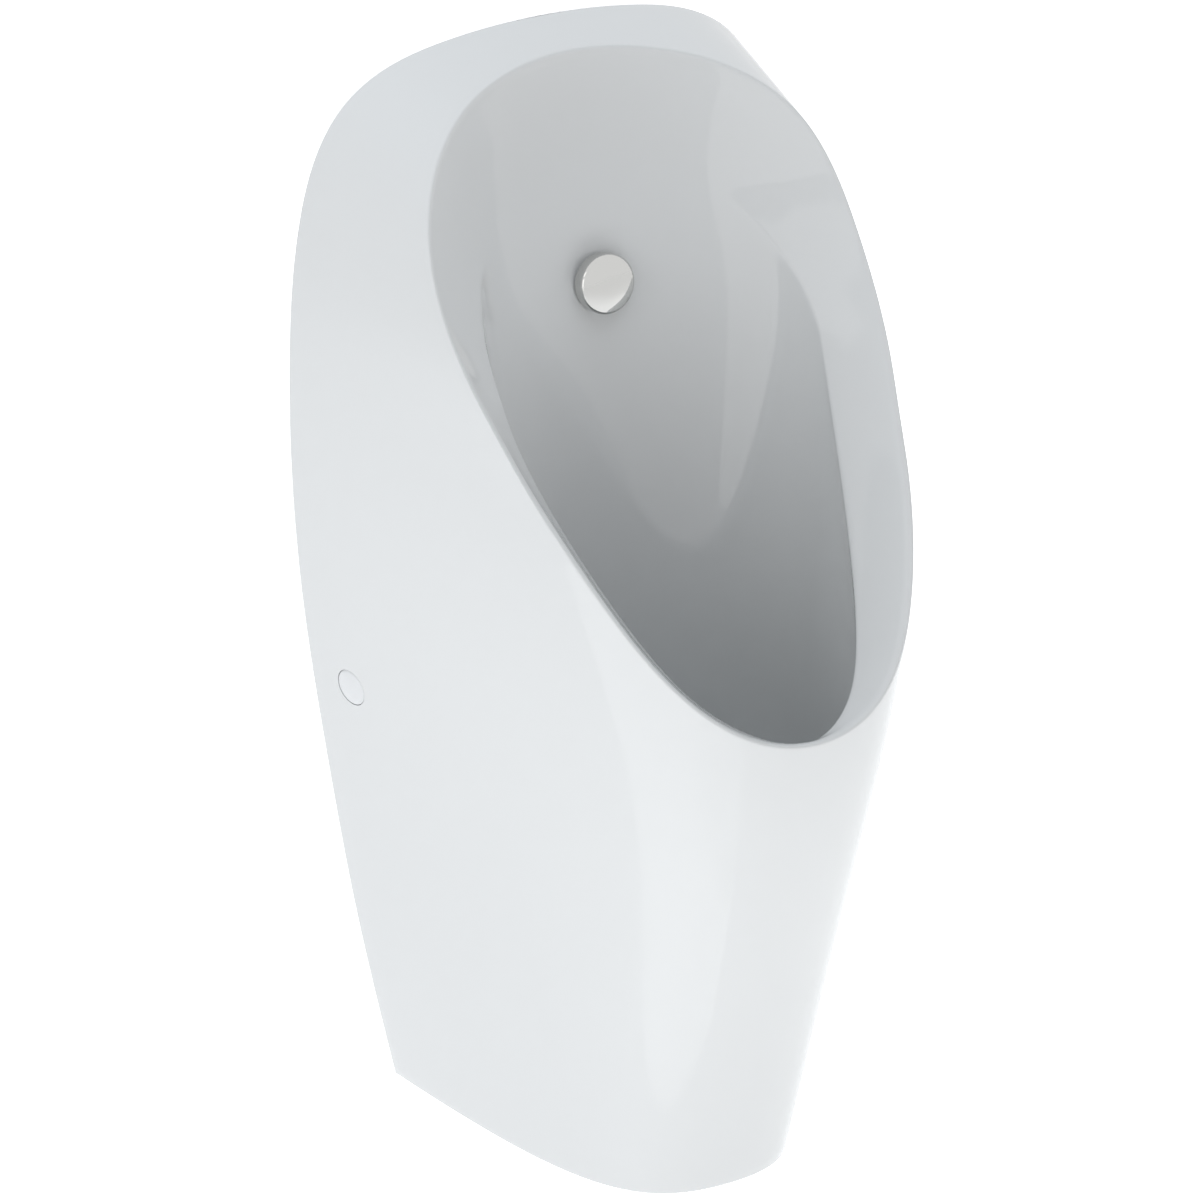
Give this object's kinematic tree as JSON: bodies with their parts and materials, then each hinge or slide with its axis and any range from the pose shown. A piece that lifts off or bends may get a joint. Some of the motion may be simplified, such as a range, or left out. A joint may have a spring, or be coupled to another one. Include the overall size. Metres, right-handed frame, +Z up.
{
  "type": "wall-hung urinal",
  "caption": "Wall-hung urinal with an egg-shaped opening, deep bowl, rear spray inlet, lift-out trap insert and hidden wall fixings.",
  "frame": {"origin": "on the wall plane, midway across the width, at the height of the ceramic's lower edge", "axes": "+X to the right of someone facing the front, +Y into the wall, +Z up"},
  "size_m": [0.327, 0.3682, 0.65],
  "materials": {
    "glazed_ceramic": "white glazed vitreous china",
    "polished_chrome": "polished chrome plating",
    "brass": "turned brass",
    "copper": "drawn copper tube",
    "black_rubber": "moulded EPDM",
    "stainless_steel": "brushed stainless steel",
    "zinc_plated_steel": "bright zinc plating",
    "white_plastic": "moulded polypropylene",
    "grey_nylon": "moulded nylon"
  },
  "bodies": {
    "root": {"ceramic_body": "glazed_ceramic", "spray_nozzle": "brass", "spray_front_gasket": "black_rubber", "spray_rear_gasket": "black_rubber", "spray_lock_nut": "brass", "inlet_washer": "black_rubber", "inlet_union_nut": "polished_chrome", "inlet_connector": "brass", "inlet_olive": "brass", "inlet_compression_nut": "brass", "inlet_pipe": "copper", "inlet_wall_sleeve": "black_rubber", "outlet_fitting": "white_plastic", "outlet_gasket": "black_rubber", "outlet_clamp_nut": "white_plastic", "trap_cup": "white_plastic", "trap_cup_seal": "black_rubber", "drain_coupling": "white_plastic", "drain_coupling_seals": "black_rubber", "drain_pipe": "white_plastic", "drain_wall_sleeve": "black_rubber", "hanger_studs": "zinc_plated_steel", "hanger_sleeves": "grey_nylon", "hanger_wall_plugs": "grey_nylon", "side_bracket_left": "zinc_plated_steel", "side_bracket_right": "zinc_plated_steel", "bracket_screws": "zinc_plated_steel", "bracket_wall_plugs": "grey_nylon", "side_bush_left": "grey_nylon", "side_bush_right": "grey_nylon", "side_screw_left": "stainless_steel", "side_screw_right": "stainless_steel"},
    "trap_insert": {"trap_insert": "white_plastic", "trap_insert_seal": "black_rubber"},
    "strainer": {"outlet_strainer": "stainless_steel"},
    "spray_cap": {"spray_cap": "polished_chrome"},
    "side_cover_left": {"side_cover_left": "white_plastic"},
    "side_cover_right": {"side_cover_right": "white_plastic"}
  },
  "joints": [
    {"name": "trap_insert_lift", "type": "slide", "parent": "root", "child": "trap_insert", "axis": [0, 0, 1], "range_m": [0, 0.135]},
    {"name": "strainer_lift", "type": "slide", "parent": "trap_insert", "child": "strainer", "axis": [0, 0, 1], "range_m": [0, 0.06]},
    {"name": "spray_cap_pull", "type": "slide", "parent": "root", "child": "spray_cap", "axis": [0, -0.989, 0.1478], "range_m": [0, 0.02]},
    {"name": "side_cover_left_pull", "type": "slide", "parent": "root", "child": "side_cover_left", "axis": [-0.965, -0.2248, -0.1349], "range_m": [0, 0.02]},
    {"name": "side_cover_right_pull", "type": "slide", "parent": "root", "child": "side_cover_right", "axis": [0.965, -0.2248, -0.1349], "range_m": [0, 0.02]}
  ]
}
